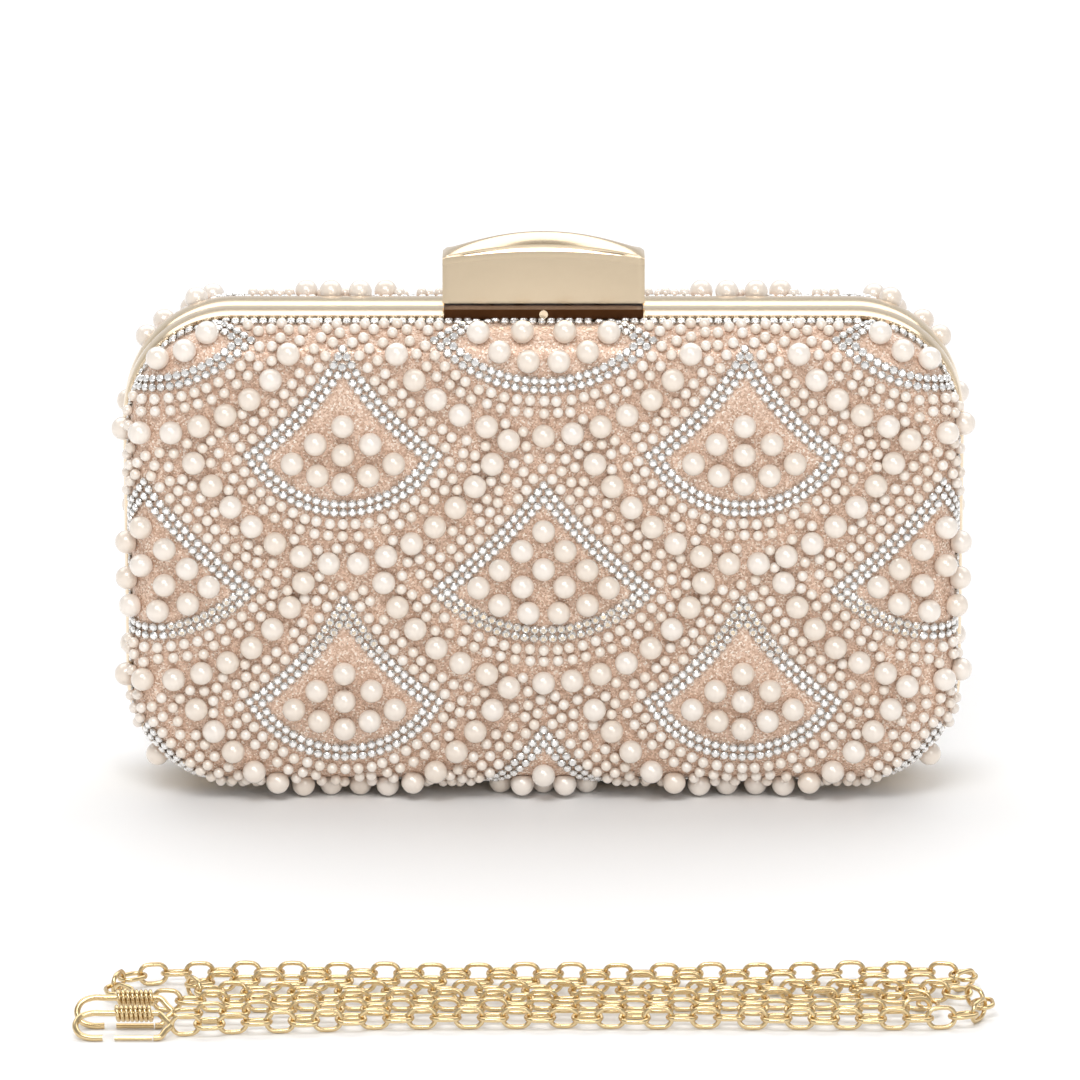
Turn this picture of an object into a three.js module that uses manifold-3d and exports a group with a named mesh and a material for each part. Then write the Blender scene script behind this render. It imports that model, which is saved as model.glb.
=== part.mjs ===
// A hard-sided evening clutch with a detachable chain strap, in millimetres, +Z up.
// Two dished shells in gold channel frames close against each other on the plane y = 0.
// The front half (y < 0) swings forward on a hinge along the bottom; a sprung bar clasp
// on the back frame holds it shut. The strap lies folded on the floor before the bag.
// The origin is on the floor, under the middle of the bag.

import * as THREE from "three";
import { mergeVertices } from "three/addons/utils/BufferGeometryUtils.js";
import Module from "manifold-3d";

const wasm = await Module();
wasm.setup();

// ---------------------------------------------------------------- driving dimensions
// "Offset" is the distance outwards from the fabric's outline, seen from the front.
const FABRIC = { halfWidth: 98, bottom: 4.6, top: 115.7, topRadius: 24, bottomRadius: 23 };
const CORNER_STEPS = 3; // each corner has twice this many segments
const GAP = 0.3; // between pieces that touch on the real bag

const FRAME = { proud: 2.2, depth: 9.5, inner: -4.2, flange: 12.5, bead: 0.9, parting: 0.2, wall: 0.9 };
const WALL_START = FRAME.depth + GAP; // the shells' rims butt against the frames
const FACE_Y = 22.5; // the fabric's depth where the edge round meets the face
const EDGE_ROUND = 9;
const CROWN = 1.5; // how far the face swells at its middle
const CROWN_RINGS = [14, 42]; // insets of the face's rings
const SKIN = { thickness: 1.2, stones: 4.6, rimStones: 0.3, ramp: 2.2 };
const SHELL_THICKNESS = 1.4;
const LINING_THICKNESS = 1.2;
const POCKET = { halfWidth: 62, low: 18, high: 76, radius: 8, panel: 1, gap: 4.6 };

const HINGE = { z: 2.2, halfLength: 31, knuckle: 1.85, bore: 1.25, pin: 1.0, knuckles: 5 };
const LEAF = { thickness: 0.8, near: 1.2, far: 6.4 };
const RIVET = { shank: 0.7, hole: 1.0, head: 1.15, headHeight: 0.35 };
const HINGE_RIVETS_X = [-24, 0, 24];

const CLASP = { halfWidth: 24, halfDepth: 5.75, front: 119.1, rear: 120.3, wall: 1.0 };
const CLASP_EDGE = { ends: 130, rise: 1.8 }; // height of the bar's long top edges
const CLASP_RIDGE = { ends: 130.2, rise: 5.1 }; // height of the ridge between them
const PIVOT = { y: 2.6, z: 121.7, pin: 0.8, hole: 1.1, boss: 2.0 };
const EAR = { x: 12.6, thickness: 1.2 };
const LUG = { x: 15.4, thickness: 1.4 };

const LOOP = { x: 93.4, y: 4, z: 84, reach: 5, radius: 3.2, wire: 1.4 };

const HOOK = { wire: 1.4, width: 8.2, length: 22, eye: 1.5, gate: 1.1 };
const HOOK_LEAN = { a: 46, b: 34 }; // degrees up from the floor
const CHAIN = { width: 5.4, sides: 8, steps: 68 };
// The chain lies folded in six runs. It starts at hook b and ends at hook a.
const CHAIN_ROUTE = [
  [-81, -197.4], [-58, -194.8], [-30, -192.4], [30, -192.1], [88, -192],
  [94.6, -189.3], [97.3, -182.7], [94.6, -176.1],
  [88, -173.4], [30, -173.3], [-30, -173.5], [-76, -173.4],
  [-79.1, -170.3],
  [-76, -167.2], [-25, -167.1], [30, -167.3], [92.2, -167.2],
  [95.3, -164.1],
  [92.2, -161], [30, -161.1], [-30, -160.9], [-86.2, -161],
  [-92.8, -163.7], [-95.5, -170.3], [-92.8, -176.9],
  [-86.2, -179.6], [-30, -179.5], [30, -179.7], [83, -179.6],
  [86.1, -182.7],
  [83, -185.8], [30, -185.7], [-30, -186.2], [-58, -187.4], [-81, -189.4],
];

// ---------------------------------------------------------------- materials
const metal = (color, roughness) =>
  new THREE.MeshStandardMaterial({ color, roughness, metalness: 1 });
const cloth = (color) =>
  new THREE.MeshStandardMaterial({ color, roughness: 0.9, metalness: 0 });

const GOLD = metal(0xe3cda4, 0.18);
const DARK_BRASS = metal(0x4a2c17, 0.4);
const STEEL = metal(0xb8b8b8, 0.3);
const STRAP_GOLD = metal(0xdcc48a, 0.25);
const STONES = cloth(0xe2c6b2);
const BOARD = new THREE.MeshStandardMaterial({ color: 0xd9d2c8, roughness: 0.7 });
const LINING = cloth(0xd8bfa2);

// ---------------------------------------------------------------- group
const bag = new THREE.Group();

function add(name, geometry, material) {
  const mesh = new THREE.Mesh(geometry, material);
  mesh.name = name;
  bag.add(mesh);
  return mesh;
}

// ---------------------------------------------------------------- solids
function toManifold(geometry) {
  const bare = geometry.index ? geometry.toNonIndexed() : geometry.clone();
  const points = new THREE.BufferGeometry();
  points.setAttribute("position", bare.getAttribute("position"));
  const merged = mergeVertices(points, 1e-4);
  return new wasm.Manifold(
    new wasm.Mesh({
      numProp: 3,
      vertProperties: new Float32Array(merged.attributes.position.array),
      triVerts: new Uint32Array(merged.index.array),
    }),
  );
}

function toGeometry(solid) {
  const mesh = solid.getMesh();
  const geometry = new THREE.BufferGeometry();
  geometry.setAttribute("position", new THREE.BufferAttribute(mesh.vertProperties, 3));
  geometry.setIndex(new THREE.BufferAttribute(mesh.triVerts, 1));
  return geometry;
}

function combine(base, { joined = [], cut = [] }) {
  let solid = toManifold(base);
  for (const piece of joined) solid = solid.add(toManifold(piece));
  for (const tool of cut) solid = solid.subtract(toManifold(tool));
  return toGeometry(solid);
}

function box(low, high) {
  const size = high.map((value, axis) => value - low[axis]);
  const middle = high.map((value, axis) => (value + low[axis]) / 2);
  return new THREE.BoxGeometry(...size).translate(...middle);
}

// A cylinder along X, Y or Z between two coordinates of that axis.
function rod(axis, radius, from, to, centre, sides = 12) {
  const geometry = new THREE.CylinderGeometry(radius, radius, to - from, sides);
  if (axis === "x") geometry.rotateZ(Math.PI / 2);
  if (axis === "z") geometry.rotateX(Math.PI / 2);
  const place = new THREE.Vector3(...centre);
  place[axis] = (from + to) / 2;
  return geometry.translate(place.x, place.y, place.z);
}

// A wire of round section along a curve, with closed ends.
function wire(curve, diameter, steps, sides = 8) {
  const section = new THREE.Shape();
  section.absarc(0, 0, diameter / 2, 0, 2 * Math.PI);
  return new THREE.ExtrudeGeometry(section, {
    extrudePath: curve,
    steps,
    curveSegments: sides / 2,
    bevelEnabled: false,
  });
}

// Rings of equal length joined into one closed surface. A closed loop of rings makes a
// torus-like solid; otherwise the first and last rings are capped.
function skinOf(rings, { loop }) {
  const count = rings[0].length;
  const positions = rings.flat().flatMap((point) => [point.x, point.y, point.z]);
  const index = [];
  const last = loop ? rings.length : rings.length - 1;
  for (let ring = 0; ring < last; ring++) {
    const next = (ring + 1) % rings.length;
    for (let at = 0; at < count; at++) {
      const [a, b] = [ring * count + at, ring * count + ((at + 1) % count)];
      const [c, d] = [next * count + at, next * count + ((at + 1) % count)];
      index.push(a, b, d, a, d, c);
    }
  }
  if (!loop) {
    const flat = (ring, axes) => ring.map((p) => new THREE.Vector2(p[axes[0]], p[axes[1]]));
    const spread = (ring, axis) =>
      Math.max(...ring.map((p) => p[axis])) - Math.min(...ring.map((p) => p[axis]));
    const axes = spread(rings[0], "y") < spread(rings[0], "x") ? ["x", "z"] : ["y", "z"];
    const caps = THREE.ShapeUtils.triangulateShape(flat(rings[0], axes), []);
    const end = (rings.length - 1) * count;
    const same = THREE.ShapeUtils.isClockWise(flat(rings[0], axes));
    for (const [a, b, c] of caps) {
      const [p, q] = same ? [b, a] : [a, b];
      index.push(q, p, c);
      index.push(end + p, end + q, end + c);
    }
  }
  const geometry = new THREE.BufferGeometry();
  geometry.setAttribute("position", new THREE.Float32BufferAttribute(positions, 3));
  geometry.setIndex(index);
  return outwards(geometry);
}

// Turns the faces round if the solid came out inside out.
function outwards(geometry) {
  const { array } = geometry.attributes.position;
  const at = (i) => new THREE.Vector3().fromArray(array, 3 * i);
  const index = geometry.index.array;
  let volume = 0;
  for (let i = 0; i < index.length; i += 3) {
    volume += at(index[i]).dot(at(index[i + 1]).cross(at(index[i + 2])));
  }
  if (volume < 0) geometry.setIndex([...index].reverse());
  return geometry;
}

// ---------------------------------------------------------------- outline of the bag
// The rounded rectangle of the fabric's outline, moved outwards, as points at one depth.
function outlineAt(offset, y) {
  const { halfWidth, bottom, top, topRadius, bottomRadius } = FABRIC;
  const x = halfWidth + offset;
  const [low, high] = [bottom - offset, top + offset];
  const smallest = 2;
  const big = Math.max(topRadius + offset, smallest);
  const small = Math.max(bottomRadius + offset, smallest);
  const path = new THREE.Path();
  path.absarc(x - big, high - big, big, 0, Math.PI / 2);
  path.absarc(-x + big, high - big, big, Math.PI / 2, Math.PI);
  path.absarc(-x + small, low + small, small, Math.PI, 1.5 * Math.PI);
  path.absarc(x - small, low + small, small, 1.5 * Math.PI, 2 * Math.PI);
  return path.getPoints(CORNER_STEPS).map((p) => new THREE.Vector3(p.x, y, p.y));
}

// The wall and face of a dish at a distance outside the fabric, as [offset, depth] pairs
// from the rim to the middle of the face. Depths are positive here.
function dishProfile(outside, rim) {
  const round = EDGE_ROUND + outside;
  const profile = [[outside, rim]];
  const arcSteps = 4;
  for (let step = 0; step <= arcSteps; step++) {
    const angle = (step / arcSteps) * (Math.PI / 2);
    profile.push([
      outside - round + round * Math.cos(angle),
      FACE_Y + outside - round + round * Math.sin(angle),
    ]);
  }
  for (const inset of CROWN_RINGS) {
    const share = (inset - EDGE_ROUND) / (CROWN_RINGS.at(-1) - EDGE_ROUND);
    profile.push([-inset, FACE_Y + outside + CROWN * Math.sin((share * Math.PI) / 2)]);
  }
  return profile;
}

// A dish between two distances from the fabric. side is -1 for the front, +1 for the back.
function dish(side, outer, inner) {
  const rings = [...inner.toReversed(), ...outer].map(([offset, depth]) =>
    outlineAt(offset, side * depth),
  );
  return skinOf(rings, { loop: false });
}

// ---------------------------------------------------------------- frames
// A channel, open away from the parting plane, whose inner wall runs on as a flange.
function frameSection() {
  const { proud, depth, inner, flange, bead, parting, wall } = FRAME;
  const section = [
    [inner, parting],
    [proud - bead, parting],
  ];
  const beadSteps = 4;
  for (let step = 1; step < beadSteps; step++) {
    const share = step / beadSteps;
    section.push([
      proud - bead + bead * Math.sin(share * Math.PI),
      parting + (depth - parting) * share,
    ]);
  }
  section.push(
    [proud - bead, depth],
    [proud - bead - wall, depth],
    [proud - bead - wall, parting + wall],
    [inner + wall, parting + wall],
    [inner + wall, flange],
    [inner, flange],
  );
  return section;
}

function frame(side) {
  const ring = skinOf(
    frameSection().map(([offset, depth]) => outlineAt(offset, side * depth)),
    { loop: true },
  );
  const under = FABRIC.bottom - FRAME.proud;
  const order = (a, b) => [Math.min(a, b), Math.max(a, b)];
  // a trough for the hinge's knuckles, holes for its rivets and notches for the strap
  const [troughLow, troughHigh] = order(0, side * (HINGE.knuckle + 0.5));
  const trough = box(
    [-HINGE.halfLength - 0.5, troughLow, under - 1],
    [HINGE.halfLength + 0.5, troughHigh, HINGE.z + HINGE.knuckle + 0.5],
  );
  const rivetY = side * (LEAF.near + LEAF.far) / 2;
  const holes = HINGE_RIVETS_X.map((x) =>
    rod("z", RIVET.hole, under - 1, under + 3, [x, rivetY, 0]),
  );
  const [notchLow, notchHigh] = order(0, side * 1.4);
  const notches = [-1, 1].map((hand) => {
    const [near, far] = order(hand * (LOOP.x - 0.4), hand * (LOOP.x + 9));
    return box([near, notchLow, LOOP.z - 3], [far, notchHigh, LOOP.z + 3]);
  });
  return combine(ring, { cut: [trough, ...holes, ...notches] });
}

// ---------------------------------------------------------------- covers, shells, linings
// The cover's outside is the tops of the pearls, thinning to bare fabric beside the frame.
function cover(side) {
  const { thickness, stones, rimStones, ramp } = SKIN;
  const outer = dishProfile(stones, WALL_START + ramp);
  outer.unshift([rimStones, WALL_START], [rimStones, WALL_START + 1.4]);
  return dish(side, outer, dishProfile(-thickness, WALL_START));
}

function shell(side) {
  const outside = -SKIN.thickness - GAP;
  const outer = dishProfile(outside, WALL_START);
  return dish(side, outer, dishProfile(outside - SHELL_THICKNESS, WALL_START));
}

function lining(side) {
  const outside = FRAME.inner - GAP;
  const rim = FRAME.depth + 0.5;
  return dish(side, dishProfile(outside, rim), dishProfile(outside - LINING_THICKNESS, rim));
}

// A slip pocket on the back lining: a panel with a gusset at its sides and bottom.
function pocket() {
  const { panel, halfWidth, low, high, radius } = POCKET;
  const innerFace = FACE_Y + FRAME.inner - GAP - LINING_THICKNESS;
  const face = (inset, top) => {
    const shape = new THREE.Shape();
    const width = halfWidth - inset;
    const round = radius - inset;
    shape.moveTo(width, top);
    shape.lineTo(-width, top);
    shape.absarc(-width + round, low + radius, round, Math.PI, 1.5 * Math.PI);
    shape.absarc(width - round, low + radius, round, 1.5 * Math.PI, 2 * Math.PI);
    return shape;
  };
  const slab = (shape, near, far) =>
    new THREE.ExtrudeGeometry(shape, {
      depth: far - near,
      bevelEnabled: false,
      curveSegments: 4,
    })
      .rotateX(Math.PI / 2)
      .translate(0, far, 0);
  const near = innerFace - POCKET.gap - panel;
  const outer = slab(face(0, high), near, innerFace - GAP);
  const room = slab(face(panel, high + 1), near + panel, innerFace + 1);
  return combine(outer, { cut: [room] });
}

// ---------------------------------------------------------------- hinge
function hingeLeaf(side) {
  const { z, halfLength, knuckle, bore, knuckles } = HINGE;
  const length = (2 * halfLength) / knuckles;
  const top = FABRIC.bottom - FRAME.proud - GAP;
  const place = (a, b) => [Math.min(side * a, side * b), Math.max(side * a, side * b)];
  const [low, high] = place(LEAF.near, LEAF.far);
  const [tabLow, tabHigh] = place(0.4, LEAF.near + 1.4);
  const [wayLow, wayHigh] = place(-3, knuckle + GAP);
  const joined = [];
  const cut = [];
  for (let k = 0; k < knuckles; k++) {
    const own = k % 2 === (side < 0 ? 0 : 1);
    const from = -halfLength + k * length + GAP / 2;
    const to = from + length - GAP;
    if (own) {
      joined.push(rod("x", knuckle, from, to, [0, 0, z]));
      joined.push(box([from, tabLow, top - LEAF.thickness], [to, tabHigh, top]));
    } else {
      cut.push(box([from - GAP, wayLow, -1], [to + GAP, wayHigh, top + 1]));
    }
  }
  cut.push(rod("x", bore, -halfLength - 1, halfLength + 1, [0, 0, z]));
  for (const x of HINGE_RIVETS_X) {
    cut.push(rod("z", RIVET.hole, top - 2, top + 2, [x, (low + high) / 2, 0]));
  }
  const plate = box([-halfLength, low, top - LEAF.thickness], [halfLength, high, top]);
  const solid = combine(plate, { joined, cut });
  return solid;
}

function hingeRivet(x, side) {
  const top = FABRIC.bottom - FRAME.proud - GAP;
  const y = (side * (LEAF.near + LEAF.far)) / 2;
  const under = top - LEAF.thickness - GAP;
  const headLow = under - RIVET.headHeight;
  const shank = rod("z", RIVET.shank, under - 0.1, top + 2.4, [x, y, 0]);
  return combine(rod("z", RIVET.head, headLow, under, [x, y, 0]), { joined: [shank] });
}

// ---------------------------------------------------------------- clasp
// Arched heights along the bar: full rise in the middle, none at the ends.
const arch = ({ ends, rise }, x) => ends + rise * (1 - (x / CLASP.halfWidth) ** 2);

// A loft along X whose sections have a crowned top. inset shrinks it all round.
function barBlock(inset, low) {
  const reach = CLASP.halfWidth - inset;
  const deep = CLASP.halfDepth - inset;
  const stations = 12;
  const crownSteps = 6;
  const rings = [];
  for (let i = 0; i <= stations; i++) {
    const x = -reach + (2 * reach * i) / stations;
    const edge = arch(CLASP_EDGE, x) - inset;
    const ridge = arch(CLASP_RIDGE, x) - inset;
    const ring = [new THREE.Vector3(x, -deep, low.front)];
    for (let s = 0; s <= crownSteps; s++) {
      const across = -1 + (2 * s) / crownSteps;
      const z = edge + (ridge - edge) * Math.cos((across * Math.PI) / 2);
      ring.push(new THREE.Vector3(x, across * deep, z));
    }
    ring.push(new THREE.Vector3(x, deep, low.rear));
    rings.push(ring);
  }
  return skinOf(rings, { loop: false });
}

function claspBar() {
  const outer = barBlock(0, CLASP);
  const hollow = barBlock(CLASP.wall, { front: CLASP.front - 3, rear: CLASP.front - 3 });
  const { y, z, hole, boss } = PIVOT;
  const lugs = [];
  for (const hand of [-1, 1]) {
    const near = hand * (LUG.x - LUG.thickness / 2);
    const far = hand * (LUG.x + LUG.thickness / 2);
    const [from, to] = [Math.min(near, far), Math.max(near, far)];
    const reach = CLASP.halfDepth - CLASP.wall / 2;
    lugs.push(rod("x", boss, from, to, [0, y, z]));
    lugs.push(box([from, y - boss, z], [to, reach, z + 6]));
  }
  const shellOnly = combine(outer, { cut: [hollow] });
  const bore = rod("x", hole, -CLASP.halfWidth + 4, CLASP.halfWidth - 4, [0, y, z]);
  return combine(shellOnly, { joined: lugs, cut: [bore] });
}

function claspBase() {
  const low = FABRIC.top + FRAME.proud + GAP;
  const plate = box([-18, 0.6, low], [18, 3.7, low + 0.7]);
  const ears = [-1, 1].flatMap((hand) => {
    const a = hand * (EAR.x - EAR.thickness / 2);
    const b = hand * (EAR.x + EAR.thickness / 2);
    const [from, to] = [Math.min(a, b), Math.max(a, b)];
    return [
      box([from, PIVOT.y - 1.6, low + 0.2], [to, PIVOT.y + 0.9, PIVOT.z]),
      rod("x", 1.6, from, to, [0, PIVOT.y, PIVOT.z]),
    ];
  });
  const bore = rod("x", PIVOT.hole, -20, 20, [0, PIVOT.y, PIVOT.z]);
  const holes = [-6, 6].map((x) => rod("z", RIVET.hole, low - 1, low + 2, [x, 2.4, 0]));
  return combine(plate, { joined: ears, cut: [bore, ...holes] });
}

function claspBaseRivet(x) {
  const low = FABRIC.top + FRAME.proud + GAP;
  const top = low + 0.7 + GAP;
  const shank = rod("z", RIVET.shank, low - 0.1, top + 0.1, [x, 2.4, 0]);
  return combine(rod("z", RIVET.head, top, top + 0.4, [x, 2.4, 0]), { joined: [shank] });
}

// A torsion spring wound round the pin, with one leg on the bar and one on the base.
function claspSpring() {
  const turns = 5;
  const [radius, halfLength, diameter] = [1.55, 5.2, 0.5];
  const points = [new THREE.Vector3(-halfLength, PIVOT.y - 3.4, PIVOT.z + radius)];
  const perTurn = 7;
  for (let i = 0; i <= turns * perTurn; i++) {
    const angle = Math.PI / 2 + (i / perTurn) * 2 * Math.PI;
    points.push(
      new THREE.Vector3(
        -halfLength + (2 * halfLength * i) / (turns * perTurn),
        PIVOT.y + radius * Math.cos(angle),
        PIVOT.z + radius * Math.sin(angle),
      ),
    );
  }
  const curve = new THREE.CatmullRomCurve3(points);
  return wire(curve, diameter, turns * perTurn, 6);
}

// The hook plate hangs inside the bar's front wall, its nose just above the catch.
function claspHook() {
  const y = -CLASP.halfDepth + CLASP.wall + GAP;
  const plate = box([-7, y, CLASP.front + 0.2], [7, y + 0.8, CLASP.front + 8]);
  const nose = box([-7, y, CLASP.front + 0.2], [7, y + 2.4, CLASP.front + 1]);
  return combine(plate, { joined: [nose] });
}

// The catch wraps over the front frame's edge under the bar.
function catchPlate() {
  const high = FABRIC.top + FRAME.proud + GAP;
  const front = -FRAME.depth - GAP;
  const half = CLASP.halfWidth - 0.4;
  const thick = 0.5;
  const top = box([-half, front - thick, high], [half, -0.6, high + thick]);
  const lip = box([-half, front - thick, FABRIC.top + 0.7], [half, front, high + 0.1]);
  const hole = rod("y", RIVET.hole, front - 2, front + 2, [0, 0, FABRIC.top + 1.9]);
  return combine(top, { joined: [lip], cut: [hole] });
}

function catchRivet() {
  const front = -FRAME.depth - GAP - 0.5;
  const z = FABRIC.top + 1.9;
  const head = rod("y", 1.05, front - 0.55, front - 0.2, [0, 0, z]);
  return combine(head, { joined: [rod("y", 0.6, front - 0.3, front + 0.4, [0, 0, z])] });
}

// ---------------------------------------------------------------- strap loops
// A wire staple on the inside of the back frame's side, for the strap's hook.
function strapLoop(hand) {
  const { x, z, reach, radius } = LOOP;
  const points = [
    [x, z + radius],
    [x - reach + radius, z + radius],
    [x - reach, z + radius * 0.4],
    [x - reach, z - radius * 0.4],
    [x - reach + radius, z - radius],
    [x, z - radius],
  ].map(([a, b]) => new THREE.Vector3(hand * a, LOOP.y, b));
  return wire(new THREE.CatmullRomCurve3(points, false, "centripetal"), LOOP.wire, 16);
}

// ---------------------------------------------------------------- strap
// A hook is drawn flat: the chain's side at the origin, the nose at -X, the mouth at -Y.
const LEG = HOOK.width / 2 - HOOK.wire / 2; // from the hook's middle line to its legs
const TIP = -HOOK.length + LEG + 3.4;

const flatCurve = (points) =>
  new THREE.CatmullRomCurve3(
    points.map(([x, y]) => new THREE.Vector3(x, y, 0)),
    false,
    "centripetal",
  );

function hookBody() {
  const nose = -HOOK.length + HOOK.wire / 2;
  const { eye } = HOOK;
  const route = [
    [-2.7 * eye, -LEG],
    [-2.3 * eye, -LEG],
    [-1.7 * eye, 0.3 - LEG],
    [-eye, -0.95 * eye],
    [-0.35, 0],
    [-eye, 0.95 * eye],
    [-1.9 * eye, LEG - 0.3],
    [-2.5 * eye, LEG],
    [-3 * eye, LEG],
    [nose + LEG + 3, LEG],
    [nose + LEG, LEG],
    [nose + 0.3 * LEG, 0.7 * LEG],
    [nose, 0],
    [nose + 0.3 * LEG, -0.7 * LEG],
    [nose + LEG, -LEG],
    [TIP, -LEG],
  ];
  return wire(flatCurve(route), HOOK.wire, 40);
}

// The coil is close wound, so it is a ribbed sleeve round the long leg.
function hookCoil() {
  const [turns, pitch, outer, groove] = [9, 1, 1.95, 0.2];
  const inner = HOOK.wire / 2 + GAP;
  const length = turns * pitch;
  const profile = [new THREE.Vector2(inner, 0)];
  for (let turn = 0; turn < turns; turn++) {
    profile.push(new THREE.Vector2(outer - groove, turn * pitch));
    profile.push(new THREE.Vector2(outer, (turn + 0.5) * pitch));
  }
  profile.push(new THREE.Vector2(outer - groove, length), new THREE.Vector2(inner, length));
  profile.push(profile[0].clone());
  const sleeve = new THREE.LatheGeometry(profile, 10);
  return sleeve.rotateZ(Math.PI / 2).translate(-2.7 * HOOK.eye, LEG, 0);
}

// The gate runs beside the coil and stops short of the tip; the coil slides to shut it.
function hookGate() {
  const from = TIP + 2.6;
  const to = -2.7 * HOOK.eye - GAP;
  return rod("x", HOOK.gate / 2, from, to, [0, -LEG, 0], 10);
}

function layHook(geometry, name, [x, y]) {
  const lean = (HOOK_LEAN[name] * Math.PI) / 180;
  const lift = HOOK.wire / 2 + LEG * Math.sin(lean) + 0.02;
  return geometry.rotateX(lean).translate(x - GAP, y, lift);
}

// A route whose samples sit evenly between its points, so that the folds get their share.
class Route extends THREE.CatmullRomCurve3 {
  getSpacedPoints(steps) {
    return this.getPoints(steps);
  }

  getTangentAt(share, target) {
    return this.getTangent(share, target);
  }
}

function chain() {
  const { width, sides, steps } = CHAIN;
  const height = (width / 2) * 1.01;
  const points = CHAIN_ROUTE.map(([x, y]) => new THREE.Vector3(x, y, height));
  return wire(new Route(points, false, "centripetal"), width, steps, sides);
}

// ---------------------------------------------------------------- assembly
for (const [half, side] of [["front", -1], ["back", 1]]) {
  add(`${half}_frame`, frame(side), GOLD);
  add(`${half}_cover`, cover(side), STONES);
  add(`${half}_shell`, shell(side), BOARD);
  add(`${half}_lining`, lining(side), LINING);
  add(`${half}_hinge_leaf`, hingeLeaf(side), GOLD);
  HINGE_RIVETS_X.forEach((x, i) =>
    add(`${half}_hinge_rivet_${i + 1}`, hingeRivet(x, side), GOLD),
  );
}
add("inner_pocket", pocket(), LINING);
const pinEnd = HINGE.halfLength - 0.5;
add("hinge_pin", rod("x", HINGE.pin, -pinEnd, pinEnd, [0, 0, HINGE.z]), STEEL);

add("clasp_bar", claspBar(), GOLD);
add("clasp_hook", claspHook(), STEEL);
add("clasp_base", claspBase(), GOLD);
add("clasp_base_rivet_left", claspBaseRivet(-6), GOLD);
add("clasp_base_rivet_right", claspBaseRivet(6), GOLD);
add("clasp_pin", rod("x", PIVOT.pin, -16.8, 16.8, [0, PIVOT.y, PIVOT.z]), STEEL);
add("clasp_spring", claspSpring(), STEEL);
add("catch_plate", catchPlate(), DARK_BRASS);
add("catch_rivet", catchRivet(), GOLD);
add("strap_loop_left", strapLoop(-1), GOLD);
add("strap_loop_right", strapLoop(1), GOLD);

for (const [name, end] of [["a", CHAIN_ROUTE.at(-1)], ["b", CHAIN_ROUTE[0]]]) {
  add(`strap_hook_${name}`, layHook(hookBody(), name, end), STRAP_GOLD);
  add(`strap_hook_coil_${name}`, layHook(hookCoil(), name, end), STRAP_GOLD);
  add(`strap_hook_gate_${name}`, layHook(hookGate(), name, end), STRAP_GOLD);
}
add("strap_chain", chain(), STRAP_GOLD);

export default bag;
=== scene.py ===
"""A pearl and crystal evening clutch with a folded chain strap, on a pale floor.

Lengths are written in millimetres and scaled to metres where a mesh is made.
"""

import itertools
import math

import bmesh
import bpy
import numpy as np
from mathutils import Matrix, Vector


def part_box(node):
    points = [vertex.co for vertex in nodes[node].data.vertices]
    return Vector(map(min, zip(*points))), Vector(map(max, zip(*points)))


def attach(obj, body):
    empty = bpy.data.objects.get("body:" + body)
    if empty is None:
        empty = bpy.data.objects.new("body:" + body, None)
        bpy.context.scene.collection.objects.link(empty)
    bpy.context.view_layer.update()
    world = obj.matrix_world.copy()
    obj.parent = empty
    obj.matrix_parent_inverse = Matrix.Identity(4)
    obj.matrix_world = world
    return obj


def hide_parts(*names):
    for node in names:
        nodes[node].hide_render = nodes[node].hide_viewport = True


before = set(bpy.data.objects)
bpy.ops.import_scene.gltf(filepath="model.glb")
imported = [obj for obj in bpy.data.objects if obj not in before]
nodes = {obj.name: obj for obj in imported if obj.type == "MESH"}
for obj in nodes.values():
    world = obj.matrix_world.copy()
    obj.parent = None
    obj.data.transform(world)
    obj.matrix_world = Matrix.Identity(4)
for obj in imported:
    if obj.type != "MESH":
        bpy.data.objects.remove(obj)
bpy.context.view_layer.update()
MM = 0.001

# ---------------------------------------------------------------- dimensions, as in the CAD
FABRIC = {"half_width": 98, "bottom": 4.6, "top": 115.7, "top_radius": 24, "bottom_radius": 23}
FACE_Y = 22.5
EDGE_ROUND = 9
CROWN = 1.5  # how far the face swells at its middle
CROWN_END = 42  # inset where the swell is at its full height
SKIN_THICKNESS = 1.2
LINING_THICKNESS = 1.2
GAP = 0.3
CORNER_STEPS = 20

FRAME_PROUD, FRAME_DEPTH, FRAME_INNER, FRAME_FLANGE = 2.2, 9.5, -4.2, 12.5
FRAME_WALL = 0.9
PARTING = 0.2
WALL_START = FRAME_DEPTH + GAP  # the covers' rims butt against the frames
TROUGH = {"half": 31.5, "depth": 2.35, "top": 4.55}  # the cut in the frames for the hinge

CLASP = {"front": 119.1, "rear": 120.3, "wall": 0.9}  # heights of the bar's lower edges
CLASP_EDGE = {"ends": 130, "rise": 1.8}  # height of the bar's long top edges
CLASP_RIDGE = {"ends": 130.2, "rise": 5.1}  # height of the ridge between them
CLASP_LEAN = 0.9  # how far the bar's front wall leans back
LUG = {"inner": 14.7, "outer": 16.1, "radius": 2.0, "reach": 5.5, "y": 2.6, "z": 121.7}

# The stones.
PEARL, SEED, CRYSTAL = 5.6, 2.65, 2.15  # diameters of large pearl, small pearl, crystal
CRYSTAL_PITCH = 2.2
SEED_PITCH = 3.25
PEARL_PITCH = 6.85

CHAIN = {"length": 7.2, "width": 5.4, "wire": 1.05, "pitch": 5.2}
HOOK = {"wire": 1.4, "width": 8.2, "length": 22, "eye": 1.5, "mouth": 3.4}
HOOK_LEAN = {"a": 46, "b": 34}  # degrees up from the floor
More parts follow.
